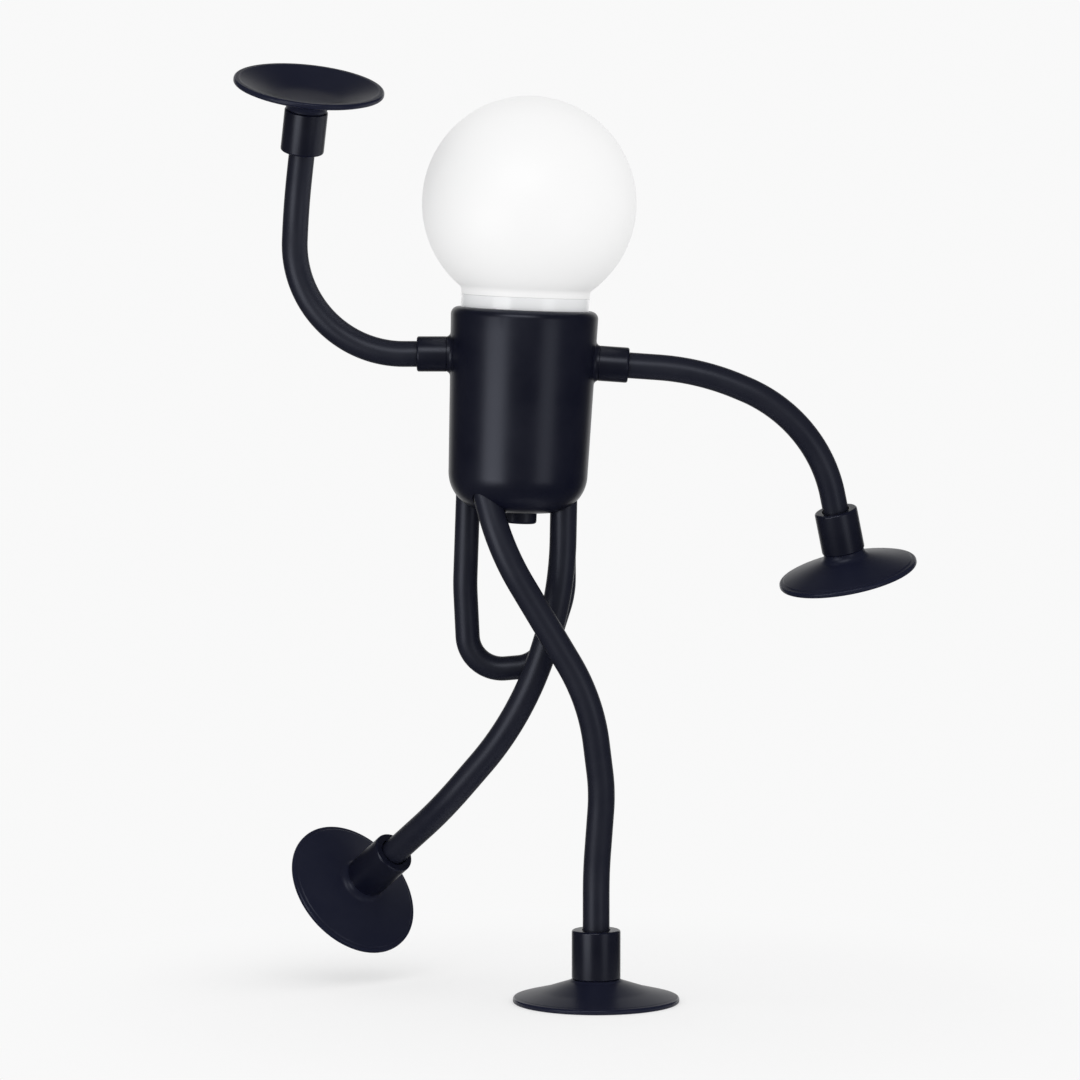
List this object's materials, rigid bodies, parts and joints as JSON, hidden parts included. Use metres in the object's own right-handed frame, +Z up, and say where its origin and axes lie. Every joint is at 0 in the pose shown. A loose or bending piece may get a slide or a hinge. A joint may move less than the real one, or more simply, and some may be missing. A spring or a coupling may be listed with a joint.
{
  "type": "posable figure lamp",
  "caption": "Posable figure lamp: a cup-shaped body carries a round bulb as its head, and flexible hose arms and legs end in suction cups.",
  "frame": {"origin": "centre of the standing foot's suction cup, on the surface that it stands on", "axes": "+X to the right of a viewer who faces the lamp, +Y away from the viewer, +Z up"},
  "size_m": [0.3031, 0.1397, 0.4181],
  "materials": {
    "body_coat": "satin",
    "fitting_coat": "satin",
    "weighted_collar": "satin",
    "hose_rubber": "satin",
    "cup_rubber": "satin",
    "core_alloy": "satin",
    "core_steel": "satin",
    "opal_globe": "satin",
    "white_plastic": "gloss",
    "board_white": "matte",
    "brass": "satin",
    "fastener_steel": "satin",
    "black_plastic": "satin",
    "holder_plastic": "matte",
    "lead_insulation": "satin"
  },
  "bodies": {
    "torso": {"block_screws": "fastener_steel", "body_shell": "body_coat", "hanging_loop": "hose_rubber", "hip_block": "black_plastic", "holder_contact": "brass", "holder_plate": "core_alloy", "holder_screw_shell": "brass", "inlet_nut": "fastener_steel", "internal_leads": "lead_insulation", "lamp_holder": "holder_plastic", "plate_pillars": "core_alloy", "plate_screws": "fastener_steel", "power_inlet": "black_plastic", "push_switch": "black_plastic", "shoulder_nuts": "fastener_steel", "left_shoulder_fitting": "fitting_coat", "right_shoulder_fitting": "fitting_coat", "left_shoulder_hose": "hose_rubber", "right_shoulder_hose": "hose_rubber", "standing_hip_stud": "core_steel", "standing_hip_hose": "hose_rubber", "lifted_hip_stud": "core_alloy", "lifted_hip_hose": "hose_rubber"},
    "bulb": {"bulb_globe": "opal_globe", "bulb_housing": "white_plastic", "bulb_cap": "brass", "bulb_contact": "brass", "light_board": "board_white"},
    "button": {"push_button": "black_plastic"},
    "left_upper_arm": {"left_upper_arm_link": "core_alloy", "left_upper_arm_hose": "hose_rubber"},
    "left_forearm": {"left_forearm_link": "core_alloy", "left_forearm_hose": "hose_rubber"},
    "left_hand": {"left_hand_collar": "fitting_coat", "left_hand_cup": "cup_rubber", "left_wrist_hose": "hose_rubber"},
    "right_upper_arm": {"right_upper_arm_link": "core_alloy", "right_upper_arm_hose": "hose_rubber"},
    "right_forearm": {"right_forearm_link": "core_alloy", "right_forearm_hose": "hose_rubber"},
    "right_hand": {"right_hand_collar": "fitting_coat", "right_hand_cup": "cup_rubber", "right_wrist_hose": "hose_rubber"},
    "standing_thigh": {"standing_thigh_link": "core_steel", "standing_thigh_hose": "hose_rubber"},
    "standing_shin": {"standing_shin_link": "core_steel", "standing_shin_hose": "hose_rubber"},
    "standing_foot": {"standing_foot_collar": "weighted_collar", "standing_foot_cup": "cup_rubber", "standing_ankle_hose": "hose_rubber", "standing_foot_weight": "fastener_steel"},
    "lifted_thigh": {"lifted_thigh_link": "core_alloy", "lifted_thigh_hose": "hose_rubber"},
    "lifted_shin": {"lifted_shin_link": "core_alloy", "lifted_shin_hose": "hose_rubber"},
    "lifted_foot": {"lifted_foot_collar": "fitting_coat", "lifted_foot_cup": "cup_rubber", "lifted_ankle_hose": "hose_rubber"}
  },
  "joints": [
    {"name": "left_shoulder", "type": "hinge", "parent": "torso", "child": "left_upper_arm", "pos_m": [-0.0966, 0.004, 0.29058], "axis": [0, 0, 1], "range_deg": [-35, 35], "deforming": ["left_shoulder_hose"]},
    {"name": "left_elbow", "type": "hinge", "parent": "left_upper_arm", "child": "left_forearm", "pos_m": [-0.12977, 0.004, 0.3184], "axis": [0, 1, 0], "range_deg": [-35, 12], "deforming": ["left_upper_arm_hose", "left_forearm_hose"]},
    {"name": "left_wrist", "type": "hinge", "parent": "left_forearm", "child": "left_hand", "pos_m": [-0.13198, 0.00159, 0.36252], "axis": [0, -1, 0], "range_deg": [-30, 35], "deforming": ["left_wrist_hose"]},
    {"name": "right_shoulder", "type": "hinge", "parent": "torso", "child": "right_upper_arm", "pos_m": [0.03118, 0.004, 0.28301], "axis": [0, 0, 1], "range_deg": [-35, 35], "deforming": ["right_shoulder_hose"]},
    {"name": "right_elbow", "type": "hinge", "parent": "right_upper_arm", "child": "right_forearm", "pos_m": [0.07424, 0.00416, 0.26947], "axis": [0, 1, 0], "range_deg": [-35, 35], "deforming": ["right_upper_arm_hose", "right_forearm_hose"]},
    {"name": "right_wrist", "type": "hinge", "parent": "right_forearm", "child": "right_hand", "pos_m": [0.1027, 0.00903, 0.23552], "axis": [0, 1, 0], "range_deg": [-35, 35], "deforming": ["right_wrist_hose"]},
    {"name": "standing_hip", "type": "hinge", "parent": "torso", "child": "standing_thigh", "pos_m": [-0.04232, -0.01633, 0.20706], "axis": [0, 1, 0], "range_deg": [-35, 35], "deforming": ["standing_hip_hose"]},
    {"name": "standing_knee", "type": "hinge", "parent": "standing_thigh", "child": "standing_shin", "pos_m": [-0.00337, -0.0111, 0.13255], "axis": [1, 0, 0], "range_deg": [-35, 35], "deforming": ["standing_thigh_hose", "standing_shin_hose"]},
    {"name": "standing_ankle", "type": "hinge", "parent": "standing_shin", "child": "standing_foot", "pos_m": [0, 0, 0.0494], "axis": [0, 1, 0], "range_deg": [-35, 35], "deforming": ["standing_ankle_hose"]},
    {"name": "lifted_hip", "type": "hinge", "parent": "torso", "child": "lifted_thigh", "pos_m": [-0.01487, 0.003, 0.20478], "axis": [0, -1, 0], "range_deg": [-35, 35], "deforming": ["lifted_hip_hose"]},
    {"name": "lifted_knee", "type": "hinge", "parent": "lifted_thigh", "child": "lifted_shin", "pos_m": [-0.03593, 0.00899, 0.12821], "axis": [1, 0, 0], "range_deg": [-35, 35], "deforming": ["lifted_thigh_hose", "lifted_shin_hose"]},
    {"name": "lifted_ankle", "type": "hinge", "parent": "lifted_shin", "child": "lifted_foot", "pos_m": [-0.08182, 0.0392, 0.0705], "axis": [0, 1, 0], "range_deg": [-35, 35], "deforming": ["lifted_ankle_hose"]},
    {"name": "bulb_slide", "type": "slide", "parent": "torso", "child": "bulb", "axis": [0.0419, 0, 0.9991], "range_m": [0, 0.05]},
    {"name": "button_press", "type": "slide", "parent": "torso", "child": "button", "axis": [0.0419, 0, 0.9991], "range_m": [0, 0.0018], "stiffness_N_per_m": 300, "springref_m": -0.003}
  ]
}
